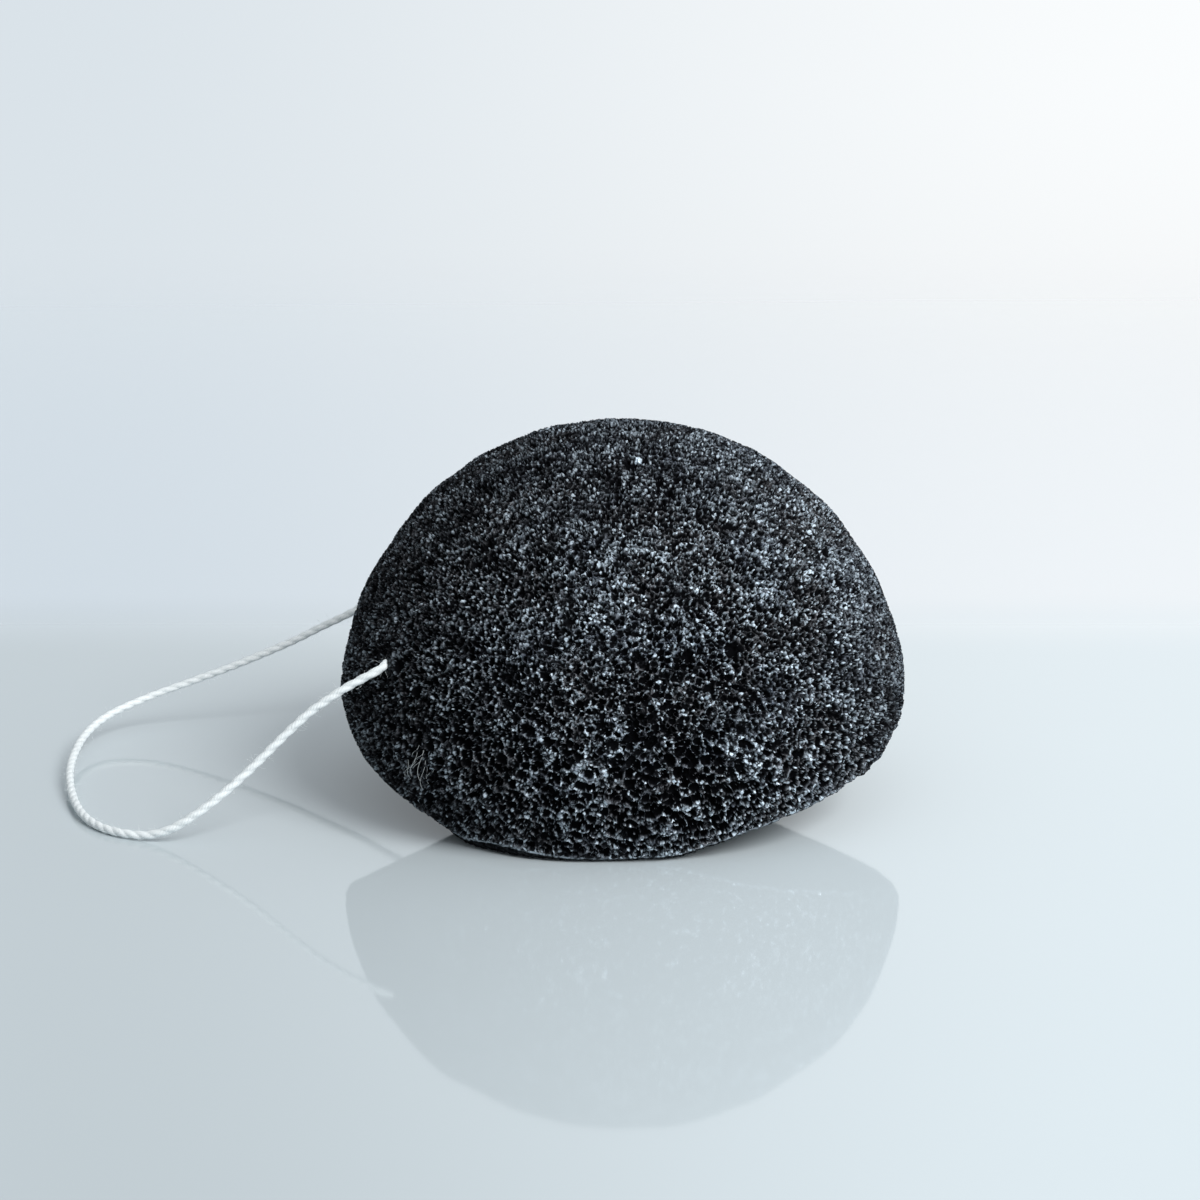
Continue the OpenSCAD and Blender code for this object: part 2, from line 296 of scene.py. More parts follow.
class Nodes:
    """Adds nodes to a tree. A node's inputs are values or other nodes' sockets."""

    def __init__(self, tree):
        self.tree = tree

    def add(self, kind, settings=None, *values, **inputs):
        """A node with its settings, with its first inputs in order and others by name."""
        node = self.tree.nodes.new(kind)
        for name, value in (settings or {}).items():
            setattr(node, name, value)
        for i, value in enumerate(values):
            self.feed(node.inputs[i], value)
        for name, value in inputs.items():
            self.feed(node.inputs[name.replace("_", " ")], value)
        return node

    def feed(self, socket, value):
        if isinstance(value, bpy.types.NodeSocket):
            self.tree.links.new(value, socket)
        else:
            socket.default_value = value

    def math(self, operation, *values):
        return self.add("ShaderNodeMath", {"operation": operation}, *values).outputs[0]

    def plus(self, a, b):
        return self.math("ADD", a, b)

    def minus(self, a, b):
        return self.math("SUBTRACT", a, b)

    def larger(self, a, b):
        return self.math("MAXIMUM", a, b)

    def times(self, product, *values):
        for value in values:
            product = self.math("MULTIPLY", product, value)
        return product

    def vector(self, operation, *values):
        node = self.add("ShaderNodeVectorMath", {"operation": operation}, *values)
        alone = operation in ("DOT_PRODUCT", "LENGTH", "DISTANCE")
        return node.outputs["Value" if alone else "Vector"]

    def scaled(self, vector, factor):
        node = self.add("ShaderNodeVectorMath", {"operation": "SCALE"}, vector, Scale=factor)
        return node.outputs["Vector"]

    def apart(self, vector):
        """The X, Y and Z of a vector."""
        return self.add("ShaderNodeSeparateXYZ", Vector=vector).outputs

    def ramp(self, value, start, end, low=0.0, high=1.0):
        """A smooth step from low at start to high at end."""
        settings = {"interpolation_type": "SMOOTHSTEP"}
        return self.add("ShaderNodeMapRange", settings, value, start, end, low, high).outputs["Result"]

    def cloud(self, vector, per_metre, detail):
        settings = {"noise_dimensions": "3D"}
        return self.add("ShaderNodeTexNoise", settings, Vector=vector, Scale=per_metre, Detail=detail).outputs

    def noise(self, vector, per_metre, detail):
        """A cloudy value from 0 to 1, mostly near a half."""
        return self.cloud(vector, per_metre, detail)["Fac"]

    def drift(self, vector, per_metre, detail, reach):
        """A small cloudy move this way and that."""
        colour = self.cloud(vector, per_metre, detail)["Color"]
        return self.scaled(self.vector("SUBTRACT", colour, (0.5, 0.5, 0.5)), reach)

    def scattered(self, vector, per_metre, settings=None):
        """Random spots in space: distance from the nearest, its colour and its place."""
        return self.add("ShaderNodeTexVoronoi", {"feature": "F1", **(settings or {})},
                        Vector=vector, Scale=per_metre).outputs

    def mix(self, kind, first, factor, a, b):
        node = self.add("ShaderNodeMix", {"data_type": kind})
        for i, value in ((0, factor), (first, a), (first + 1, b)):
            self.feed(node.inputs[i], value)
        return node

    def blend(self, factor, a, b):
        """The value a where the factor is 0 and b where it is 1."""
        return self.mix("FLOAT", 2, factor, a, b).outputs[0]

    def mix_colour(self, factor, a, b):
        """The colour a where the factor is 0 and b where it is 1."""
        return self.mix("RGBA", 6, factor, a, b).outputs[2]

    def bump(self, strength, distance, height):
        node = self.add("ShaderNodeBump", Strength=strength, Distance=distance, Height=height)
        return node.outputs["Normal"]

    def random(self, kind, low, high, seed=0):
        """A random number or vector between two for each point."""
        first = 0 if kind == "FLOAT_VECTOR" else 2
        node = self.add("FunctionNodeRandomValue", {"data_type": kind}, Seed=seed)
        self.feed(node.inputs[first], low)
        self.feed(node.inputs[first + 1], high)
        return node.outputs[first // 2]

    def kept(self, geometry, name, value, kind="FLOAT"):
        """The geometry with a value stored on its points."""
        return self.add("GeometryNodeStoreNamedAttribute", {"data_type": kind, "domain": "POINT"},
                        Geometry=geometry, Name=name, Value=value).outputs[0]

    def stored(self, name):
        node = self.add("GeometryNodeInputNamedAttribute", {"data_type": "FLOAT"}, Name=name)
        return node.outputs["Attribute"]

    def at(self, geometry, position):
        return self.add("GeometryNodeSetPosition", Geometry=geometry, Position=position).outputs[0]

    def moved(self, geometry, offset):
        return self.add("GeometryNodeSetPosition", Geometry=geometry, Offset=offset).outputs[0]

    def joined(self, *geometries):
        node = self.tree.nodes.new("GeometryNodeJoinGeometry")
        for geometry in geometries:
            self.tree.links.new(geometry, node.inputs[0])
        return node.outputs[0]

    def realized(self, geometry):
        return self.add("GeometryNodeRealizeInstances", Geometry=geometry).outputs[0]

    def placed(self, points, instance, rotation, scale):
        return self.add("GeometryNodeInstanceOnPoints", Points=points, Instance=instance,
                        Rotation=rotation, Scale=scale).outputs[0]

    def circle(self, corners, radius):
        node = self.add("GeometryNodeCurvePrimitiveCircle", Resolution=corners, Radius=radius)
        return node.outputs["Curve"]

    def swept(self, curve, profile, caps):
        """A tube along a curve, its ends closed if caps is true."""
        node = self.add("GeometryNodeCurveToMesh", Curve=curve, Profile_Curve=profile, Fill_Caps=caps)
        return node.outputs[0]

    def hair(self, steps, *points):
        """One bent hair through its start, its two handles and its end, given in millimetres."""
        names = ("Start", "Start_Handle", "End_Handle", "End")
        places = {name: tuple(v * MM for v in point) for name, point in zip(names, points)}
        return self.add("GeometryNodeCurvePrimitiveBezierSegment", Resolution=steps, **places).outputs[0]


def group_with(name, kind, inputs, outputs):
    """A new node group and its input and output nodes. Each socket is given as (name, type, default)."""
    tree = bpy.data.node_groups.new(name, kind)
    for way, sockets in (("INPUT", inputs), ("OUTPUT", outputs)):
        for label, socket_kind, default in sockets:
            socket = tree.interface.new_socket(name=label, in_out=way, socket_type="NodeSocket" + socket_kind)
            if default is not None:
                socket.default_value = default
    given = tree.nodes.new("NodeGroupInput").outputs
    return tree, Nodes(tree), given, tree.nodes.new("NodeGroupOutput").inputs


def geometry_tree(name, inputs):
    """A new tree that changes a geometry and gives it one material."""
    geometry, material = ("Geometry", "Geometry", None), ("Material", "Material", None)
    return group_with(name, "GeometryNodeTree", [geometry, *inputs, material], [geometry])


def finish_tree(add, given, out, geometry):
    whole = add.realized(geometry)
    dressed = add.add("GeometryNodeSetMaterial", Geometry=whole, Material=given["Material"])
    add.feed(out["Geometry"], dressed.outputs[0])


def run_modifier(owner, tree, values):
    """The plain mesh that a node tree makes of an object, with the tree's inputs set by name."""
    modifier = owner.modifiers.new(tree.name, "NODES")
    modifier.node_group = tree
    for item in tree.interface.items_tree:
        if item.item_type == "SOCKET" and item.in_out == "INPUT" and item.name in values:
            modifier[item.identifier] = values[item.name]
    mesh = evaluated_mesh(owner)
    used = [material for material in mesh.materials if material]
    mesh.materials.clear()
    for material in used:
        mesh.materials.append(material)
    mesh.polygons.foreach_set("material_index", np.zeros(len(mesh.polygons), np.int32))
    return mesh


def evaluated_mesh(owner):
    """The mesh that an object's modifiers make, with the object itself taken away."""
    graph = bpy.context.evaluated_depsgraph_get()
    mesh = bpy.data.meshes.new_from_object(owner.evaluated_get(graph), depsgraph=graph)
    owner.modifiers.clear()
    bpy.data.objects.remove(owner)
    return mesh


def new_piece(name, data, material=None, smooth=True):
    """An object in the scene's collection with its place in its mesh or curve."""
    piece = bpy.data.objects.new(name, data)
    bpy.context.scene.collection.objects.link(piece)
    if material is not None:
        data.materials.append(material)
    if isinstance(data, bpy.types.Mesh):
        data.shade_smooth() if smooth else data.shade_flat()
    return piece


# Materials

def fine_grain_group():
    """Small dark and light specks and their height, for foam and cotton."""
    tree, add, given, out = group_with(
        "fine_grain", "ShaderNodeTree",
        [("Vector", "Vector", None), ("Grains per Metre", "Float", 4000.0), ("Depth", "Float", 0.5)],
        [("Shade", "Float", None), ("Height", "Float", None)])
    fine = add.noise(given["Vector"], given["Grains per Metre"], 3.0)
    add.feed(out["Shade"], add.minus(1.0, add.times(given["Depth"], add.ramp(fine, 0.3, 0.7))))
    add.feed(out["Height"], fine)
    return tree


def shared_grain(add, vector, per_metre, depth):
    """Places the fine grain group in a material with its own values."""
    node = add.tree.nodes.new("ShaderNodeGroup")
    node.node_tree = bpy.data.node_groups.get("fine_grain") or fine_grain_group()
    for name, value in (("Vector", vector), ("Grains per Metre", per_metre), ("Depth", depth)):
        add.feed(node.inputs[name], value)
    return node.outputs["Shade"], node.outputs["Height"]


def new_material(name):
    material = bpy.data.materials.new(name)
    material.use_nodes = True
    add = Nodes(material.node_tree)
    return material, add, material.node_tree.nodes["Principled BSDF"].inputs


def tinted(colour, share=1.0):
    """A colour with its alpha, lighter or darker by a share."""
    return (*(c * share for c in colour), 1.0)


def attribute(add, name, output="Fac"):
    return add.add("ShaderNodeAttribute", {"attribute_name": name}).outputs[output]


def bent_place(add, place):
    """A place moved a little this way and that, so that the cells come out uneven."""
    return add.vector("ADD", place, add.drift(place, 950.0, 2.0, CELL_BEND))


def coarse_here(add, place, coarse):
    """1 where the coarse cells are and 0 where the finer ones are."""
    spotty = add.minus(add.noise(place, 260.0, 1.0), 0.5)
    return add.ramp(add.plus(coarse, add.times(spotty, 1.3)), 0.42, 0.52)


def cell_edges(add, place, per_metre):
    """Distance to the wall between cells, as a share of a cell."""
    return add.add("ShaderNodeTexVoronoi", {"feature": "DISTANCE_TO_EDGE"},
                   Vector=place, Scale=per_metre, Randomness=CELL_UNEVENNESS).outputs["Distance"]


def cell_walls(add, foam, place, bent, shallow, patchy):
    """The thin walls between the cells: up to 1 on a wall and 0 inside a cell."""
    use_coarse = coarse_here(add, place, attribute(add, "coarse"))
    main = cell_edges(add, bent, 1 / foam.cell_size)
    coarse = cell_edges(add, bent, 1 / foam.coarse_cell_size)
    small = cell_edges(add, bent, 1 / foam.fine_cell_size)
    width = add.ramp(add.apart(place)["X"], *WALL_WIDTH)
    line = add.ramp(add.blend(use_coarse, main, coarse), width, 0.015)
    small_line = add.times(add.ramp(small, 0.2, 0.03), 0.6)
    return add.math("POWER", add.times(add.larger(line, small_line), patchy, shallow), 1.35)


def wall_shade_and_dullness(add, place):
    """How light the walls are painted: painted shade at the left flank and the foot, and duller at the far
    right and the crown.
    """
    x, z = add.apart(place)["X"], add.apart(place)["Z"]
    return add.times(add.ramp(x, *PAINTED_SHADE_AT_LEFT), add.ramp(x, *LIGHT_TO_RIGHT),
                     add.ramp(z, *LIGHT_TO_CROWN), add.ramp(z, *PAINTED_SHADE_AT_FOOT))


def painted_glints(add, place, bent, depth, shallow):
    """Painted highlights: fine specks, short curled strokes and larger flakes, in clumps, painted bright into
    the base colour.
    """
    clump = add.ramp(add.noise(place, CLUMPS, 2.0), 0.4, 0.65, 0.84, 0.4)
    specks = add.scattered(bent, SPECKS)
    chance = add.apart(specks["Color"])
    speck = add.times(add.math("GREATER_THAN", chance["X"], clump), add.ramp(specks["Distance"], 0.7, 0.4),
                      add.ramp(chance["Y"], 0.0, 1.0, 0.25, 1.0))
    curl = add.math("ABSOLUTE", add.minus(add.noise(place, STROKES, 1.0), 0.5))
    stroke = add.times(add.ramp(curl, 0.03, 0.004), add.ramp(add.noise(bent, STROKE_GATES, 1.0), 0.55, 0.63))
    fine_glint = add.times(add.larger(speck, add.times(stroke, 0.8)), shallow)
    flakes = add.scattered(bent, FLAKES, {"distance": "MANHATTAN"})
    rarity = add.ramp(clump, 0.4, 0.84, 0.6, 0.86)
    flake_here = add.math("GREATER_THAN", add.apart(flakes["Color"])["X"], rarity)
    flake = add.times(flake_here, add.ramp(flakes["Distance"], 0.62, 0.4))
    return add.larger(fine_glint, add.times(flake, add.ramp(depth, 0.75 * MM, 0.35 * MM)))


def foam_material(foam):
    """Charcoal foam: thin grey walls round black cells, with painted highlights (glints) on the walls, and
    painted shade in the cells, on the band and the underside, round the front mouth, at the left flank and at
    the foot.
    """
    material, add, shader = new_material("open_cell_foam")
    place = attribute(add, "rest_place", "Vector")
    depth = attribute(add, "cell_depth")
    over_band = attribute(add, "over_band")
    bent = bent_place(add, place)
    patchy = add.ramp(add.noise(place, PATCHES, 3.0), 0.4, 0.62, 0.1, 1.2)
    cloudy = add.ramp(add.noise(place, CLOUDS, 2.0), 0.35, 0.65, 0.55, 1.3)
    shallow = add.ramp(depth, 0.7 * MM, 0.08 * MM)
    # Painted shade on the walls and glints: darker at the left flank and the foot; duller at the far right
    # and the crown
    light = wall_shade_and_dullness(add, place)
    # Painted shade round the front mouth, where the string goes into the foam
    mouth_shade = add.ramp(add.vector("DISTANCE", place, MOUTH_PLACE), 1 * MM, 3.5 * MM, 0.35, 1.0)
    # Painted shadow: below the top of the skin band, on the band and the whole underside, the walls and
    # glints fade almost to black
    band_and_mouth_shade = add.times(add.ramp(over_band, -0.15 * MM, 0.05 * MM, 0.04, 1.0), mouth_shade)
    wall = add.times(cell_walls(add, foam, place, bent, shallow, patchy), cloudy, add.times(light, band_and_mouth_shade))
    shade, height = shared_grain(add, place, 5200.0, 0.4)
    lit = add.times(wall, shade, add.plus(0.6, add.times(attribute(add, "cell_tone"), 0.8)))
    warm = add.times(add.ramp(add.noise(place, BROWN_CLOUDS, 1.0), 0.35, 0.6),
                     add.ramp(add.apart(place)["X"], *BROWN_AT_LEFT))
    walls = add.mix_colour(warm, tinted(foam.warm_colour), tinted(foam.wall_colour))
    band_edge = add.ramp(add.math("ABSOLUTE", over_band), 0.2 * MM, 0.06 * MM)
    rim_line = add.times(band_edge, attribute(add, "pale_rim"), add.ramp(patchy, 0.0, 1.0, 0.1, 1.0))
    # Painted highlights: bright glints painted into the base colour
    glint = painted_glints(add, place, bent, depth, shallow)
    glint = add.times(glint, add.times(add.math("POWER", light, 0.8), band_and_mouth_shade))
    lint = add.ramp(add.vector("DISTANCE", place, LINT_PLACE), 0.55 * MM, 0.3 * MM)
    glint = add.larger(add.larger(glint, add.times(rim_line, 0.5)), lint)
    # Painted shade in the cells: off the walls and deeper down the colour goes to the pit colour
    colour = add.mix_colour(lit, tinted(foam.pit_shade_colour), walls)
    add.feed(shader["Base Color"], add.mix_colour(glint, colour, tinted(foam.glint_colour)))
    bright = add.larger(wall, glint)
    add.feed(shader["Roughness"], add.ramp(bright, 0.0, 1.0, 0.6, 0.27))
    steep = add.ramp(add.add("ShaderNodeLayerWeight", Blend=0.5).outputs["Facing"], 0.5, 0.95, 1.0, 0.1)
    shader["Specular IOR Level"].default_value = 0.3
    add.feed(shader["Specular IOR Level"], add.times(bright, steep))
    shader["Specular Tint"].default_value = (0.86, 0.94, 1.0, 1.0)
    shader["IOR"].default_value = 2.1
    add.feed(shader["Normal"], add.bump(1.0, 0.16 * MM, add.plus(height, add.times(wall, 0.8))))
    return material


def cotton_material(string):
    """Undyed cotton: fine fibres along each ply, with painted shade in the creases between the fibres and in
    the grooves between the plies.
    """
    material, add, shader = new_material("twisted_cotton")
    place = add.add("ShaderNodeTexCoord").outputs["Object"]
    off_core = add.vector("DISTANCE", place, attribute(add, "core", "Vector"))
    # Painted shade in the grooves between the plies
    groove_shade = add.ramp(off_core, 0.46 * STRING_D, 0.3 * STRING_D, 0.0, 0.85)
    shade, height = shared_grain(add, place, 9000.0, 0.12)
    lines = add.add("ShaderNodeCombineXYZ", X=add.times(attribute(add, "along"), 900.0),
                    Y=add.times(attribute(add, "around"), 14.0)).outputs[0]
    fibre = add.noise(lines, 1.0, 3.0)
    crease = add.times(add.ramp(fibre, 0.52, 0.3), 0.4)
    colour = add.mix_colour(add.larger(crease, groove_shade), tinted(string.colour), tinted(string.crease_shade_colour))
    add.feed(shader["Base Color"], add.scaled(colour, shade))
    add.feed(shader["Roughness"], add.ramp(fibre, 0.2, 0.8, 0.95, 0.75))
    shader["Specular IOR Level"].default_value = 0.2
    shader["Sheen Weight"].default_value = 0.5
    shader["Sheen Tint"].default_value = (0.88, 0.97, 1.0, 1.0)
    shader["Subsurface Weight"].default_value = 0.12
    shader["Subsurface Radius"].default_value = (1.0, 1.0, 1.0)
    shader["Subsurface Scale"].default_value = 0.3 * MM
    add.feed(shader["Normal"], add.bump(0.7, 0.06 * MM, add.plus(fibre, add.times(height, 0.3))))
    return material


def table_material(stage):
    """A glossy pale table, painted lighter towards the right as painted light, that passes into paler
    surroundings behind the sponge.
    """
    material, add, shader = new_material("glossy_table")
    place = add.add("ShaderNodeTexCoord").outputs["Object"]
    x, y = add.apart(place)["X"], add.apart(place)["Y"]
    far = add.ramp(y, *EDGE_CHANGE)
    reach = add.larger(add.minus(y, FAN_Y), 0.1)
    right = add.ramp(add.math("DIVIDE", x, reach), *ACROSS)
    # Painted light: the table near the sponge is painted lighter towards the right
    near = add.mix_colour(right, tinted(stage.table_colour, 0.93), tinted(stage.table_colour, 1.3))
    beyond = add.mix_colour(right, tinted(stage.left_colour), tinted(stage.right_colour))
    add.feed(shader["Base Color"], add.mix_colour(far, near, beyond))
    add.feed(shader["Roughness"], add.ramp(far, 0.0, 1.0, 0.045, 0.6))
    round_about = add.ramp(add.vector("LENGTH", place), *FADE_ROUND)
    add.feed(shader["Alpha"], add.times(add.ramp(y, *FADE_BACK), round_about))
    shader["Specular IOR Level"].default_value = 0.3
    return material


# The foam body

def smooth_step(value, start, end):
    t = np.clip((value - start) / (end - start), 0, 1)
    return t * t * (3 - 2 * t)


def bell(off, width):
    """A smooth bump of height 1."""
    return np.exp(-(off / width) ** 2)


def off_angle(angle, middle):
    """Degrees from one angle round the ball to another, from -180 to 180."""
    return (np.degrees(angle) - middle + 180) % 360 - 180


def bump_at(angle, middle, width):
    """A smooth bump of height 1 round the ball, its middle and width in degrees."""
    return bell(off_angle(angle, middle), width)


def wall_r(z):
    """Radius of the wall at a height."""
    above = BALL_R * np.sqrt(np.clip(1 - ((z - WIDEST_H) / DOME_H) ** 2, 0, 1))
    below = BALL_R - TUCK * (np.clip(WIDEST_H - z, 0, None) / WIDEST_H) ** 2
    return np.where(z > WIDEST_H, above, below)


def lean_y(z):
    """How far the wall's middle leans back at a height."""
    return CROWN_LEAN * (np.clip(z - WIDEST_H, 0, None) / DOME_H) ** LEAN_POWER


def rim_z(angle):
    """Height of the rim at an angle round the ball, the front being at three quarters of a turn."""
    height = RIM_MID_H + RIM_RISE * np.sin(angle)
    height = height + RIM_CURL * np.cos(2 * angle) - RIM_TWIST * np.sin(2 * angle)
    for middle, width, rise in RIM_BUMPS:
        height = height + rise * bump_at(angle, middle, width)
    torn = sum(np.sin(waves * angle + waves) for waves in TORN_WAVES) / len(TORN_WAVES)
    height = height + torn * (TORN_DEPTH + TORN_MORE * bump_at(angle, *TORN_PLACE))
    return np.maximum(RIM_LOW, height)


def shadow_band_z(angle):
    """Height of the band of skin above the rim; below its top the foam is painted black as a painted shadow.
    """
    return SHADOW_BAND_H + sum(rise * bump_at(angle, middle, width) for middle, width, rise in SHADOW_BAND_BUMPS)


def wall_points(angle, z):
    """Points of the wall, with the foot's bump low at the front."""
    middle, width, out = FOOT_BUMP
    low = (np.clip(WIDEST_H - z, 0, None) / WIDEST_H) ** FOOT_POWER
    radius = wall_r(z) + out * bump_at(angle, middle, width) * low
    return np.stack([radius * np.cos(angle), radius * np.sin(angle) + lean_y(z), z], -1)


def rounding(angle):
    """How far from the rim its rounding starts: hardly at the front and further at the sides and the back."""
    change = smooth_step(np.abs(off_angle(angle, FRONT_ANGLE)), *ROUNDING_CHANGE)
    return FRONT_ROUNDING + (SIDE_ROUNDING - FRONT_ROUNDING) * change


def dome_ring(angle, up):
    """Points of the wall, from where the rounding starts at 0 to the crown at 1."""
    rim = rim_z(angle)
    first = np.arcsin(rounding(angle) / (BODY_H - rim)) / (math.pi / 2)
    return wall_points(angle, rim + (BODY_H - rim) * np.sin(math.pi / 2 * (first + (1 - first) * up)))


def belly_ring(angle, out):
    """Points of the underside, from the edge of its flat seat at 0 to where the rounding starts at 1."""
    rim = wall_points(angle, rim_z(angle))
    seat = (SEAT_SINK / (rim[:, 2] + SEAT_SINK)) ** (1 / BELLY_POWER)
    share = seat + (1 - seat - rounding(angle) / BALL_R) * out
    height = -SEAT_SINK + (rim[:, 2] + SEAT_SINK) * share ** BELLY_POWER
    return np.stack([rim[:, 0] * share, rim[:, 1] * share, height], -1)


def foam_form(around=480, up=70, below=24, rounded=7):
    """The half ball's smooth outline as a closed mesh."""
    angle = np.arange(around) * 2 * math.pi / around
    inside, edge, wall = belly_ring(angle, 1.0), wall_points(angle, rim_z(angle)), dome_ring(angle, 0.0)
    rings = [belly_ring(angle, j / below) for j in range(below)]
    rings += [(1 - t) ** 2 * inside + 2 * t * (1 - t) * edge + t * t * wall
              for t in np.linspace(0, 1, rounded)]
    rings += [dome_ring(angle, j / up) for j in range(1, up)]
    points = np.concatenate(rings + [np.array([[0, 0, 0], [0, CROWN_LEAN, BODY_H]])])
    middle, crown, top = len(points) - 2, len(points) - 1, (len(rings) - 1) * around
    pairs = [(k, (k + 1) % around) for k in range(around)]
    faces = [(middle, b, a) for a, b in pairs]
    for a in range(0, top, around):
        faces += [(a + i, a + n, a + around + n, a + around + i) for i, n in pairs]
    faces += [(crown, top + a, top + b) for a, b in pairs]
    mesh = bpy.data.meshes.new("foam_form")
    mesh.from_pydata(points.tolist(), [], faces)
    return mesh


def even_mesh(mesh, step):
    """The same closed form with evenly spread points."""
    owner = new_piece("even_form", mesh, smooth=False)
    remesh = owner.modifiers.new("even", "REMESH")
    remesh.mode = "VOXEL"
    remesh.voxel_size = step
    return evaluated_mesh(owner)


def read_values(items, name, kind, width=1):
    """One value or one row of values for each item of a mesh."""
    found = np.empty(len(items) * width, kind)
    items.foreach_get(name, found)
    return found if width == 1 else found.reshape(-1, width)


def pinch_at_mouths(points):
    """Sinks a dimple round the back mouth, and lays a fold and an upright crease beside the front mouth."""
    x, z = points[:, 0] - CHANNEL_X, points[:, 2] - CHANNEL_Z
    off = np.hypot(x, z)
    dimple = (1 - smooth_step(off, DIMPLE_FLAT_R, DIMPLE_R)) * DIMPLE_DEPTH
    dimple = dimple + HOLLOW_DEPTH * bell(off, HOLLOW_R)
    fold = FOLD_OUT * bell(x - FOLD_OFF, FOLD_W) * bell(z, FOLD_H)
    crease = CREASE_DEPTH * bell(x - CREASE_OFF, CREASE_W) * bell(z, CREASE_H) * (points[:, 2] > WIDEST_H)
    moved = points.copy()
    moved[:, 1] += np.where(points[:, 1] < 0, crease - fold, -dimple)
    return moved


def mark_foam(mesh, points):
    """Stores for each point how coarse its cells are and how much skin closes them. Finds the underside."""
    side_y = points[:, 1] - lean_y(points[:, 2])
    angle = np.arctan2(side_y, points[:, 0])
    above = points[:, 2] - rim_z(angle)
    out = np.hypot(points[:, 0], side_y) / wall_r(points[:, 2])
    belly = 1 - smooth_step(out + above / BALL_R, 0.97, 1.0)
    band = shadow_band_z(angle)
    off_band = np.abs(above - band / 2) - band / 2
    lip = (1 - smooth_step(off_band, 0.1 * MM, 0.6 * MM)) * smooth_step(out, 0.93, 0.97)
    mouth = np.exp(-(np.linalg.norm(points - MOUTH_PLACE, axis=1) / SMOOTH_MOUTH_R) ** 4)
    pale = [share * bump_at(angle, middle, width) for middle, width, share in PALE_EDGES]
    values = {
        "coarse": smooth_step(-points[:, 1], *COARSE_FRONT) * (1 - smooth_step(points[:, 2], *COARSE_TOP)),
        "over_band": np.clip(above - band, -2 * MM, 2 * MM),
        "pale_rim": np.max(pale, axis=0),
        "skin": np.clip(0.45 * belly + 1.1 * lip + mouth, 0, 1),
        "swell": SWELL * smooth_step(above, -0.5 * MM, 1.5 * MM),
    }
    for name, value in values.items():
        mesh.attributes.new(name, "FLOAT", "POINT").data.foreach_set("value", value.astype(np.float32))
    return belly > 0.5


def lay_out_map(mesh, points, under):
    """A map for baking: the dome as one disc and the underside as a smaller one."""
    angle = np.arctan2(points[:, 1] - lean_y(points[:, 2]), points[:, 0])
    rim = rim_z(angle)
    up = np.arcsin(np.clip((points[:, 2] - rim) / (BODY_H - rim), -1, 1)) / (math.pi / 2)
    flat = np.arctan2(points[:, 1], points[:, 0])
    from_middle = np.hypot(points[:, 0], points[:, 1]) / BALL_R
    discs = [middle + radius[:, None] * np.stack([np.cos(way), np.sin(way)], -1) for middle, radius, way in
             ((DOME_MIDDLE, DOME_DISC_R * (1 - up), angle), (BELLY_MIDDLE, BELLY_DISC_R * from_middle, flat))]
    corner = read_values(mesh.loops, "vertex_index", np.int32)
    first = read_values(mesh.polygons, "loop_start", np.int32)
    count = read_values(mesh.polygons, "loop_total", np.int32)
    face_under = np.repeat(np.add.reduceat(under[corner].astype(int), first) * 2 > count, count)
    places = np.where(face_under[:, None], discs[1][corner], discs[0][corner]).clip(0.002, 0.998)
    layer = mesh.uv_layers.new(name="OFBake")
    layer.uv.foreach_set("vector", places.astype(np.float32).ravel())


def bubble_group():
    """Depth of round cells below a surface, as if bubbles of one size had been cut open by it."""
    tree, add, given, out = group_with(
        "cut_bubbles", "GeometryNodeTree",
        [("Position", "Vector", None), ("Normal", "Vector", None), ("Cell Size", "Float", 1 * MM),
         ("Radius Share", "Float", 0.7), ("Wall Share", "Float", 0.1), ("Deepest", "Float", 1 * MM)],
        [("Depth", "Float", None), ("Tone", "Float", None)])
    per_metre = add.math("DIVIDE", 1.0, given["Cell Size"])
    cells = add.add("ShaderNodeTexVoronoi", {"feature": "F1"},
                    Vector=given["Position"], Scale=per_metre, Randomness=CELL_UNEVENNESS)
    edges = cell_edges(add, given["Position"], per_metre)
    chance = add.apart(cells.outputs["Color"])
    radius = add.times(given["Cell Size"], given["Radius Share"], add.plus(0.8, add.times(0.4, chance["X"])))
    from_middle = add.vector("SUBTRACT", given["Position"], cells.outputs["Position"])
    rise = add.vector("DOT_PRODUCT", from_middle, given["Normal"])
    off = add.vector("LENGTH", from_middle)
    room = add.minus(add.times(radius, radius), add.times(off, off))
    reach = add.math("SQRT", add.larger(add.plus(add.times(rise, rise), room), 0.0))
    depth = add.math("MINIMUM", add.plus(rise, reach), given["Deepest"])
    inside = add.math("GREATER_THAN", room, 0.0)
    wall = add.ramp(edges, add.times(given["Wall Share"], 0.35), given["Wall Share"])
    add.feed(out["Depth"], add.times(add.larger(depth, 0.0), inside, wall))
    add.feed(out["Tone"], chance["Y"])
    return tree


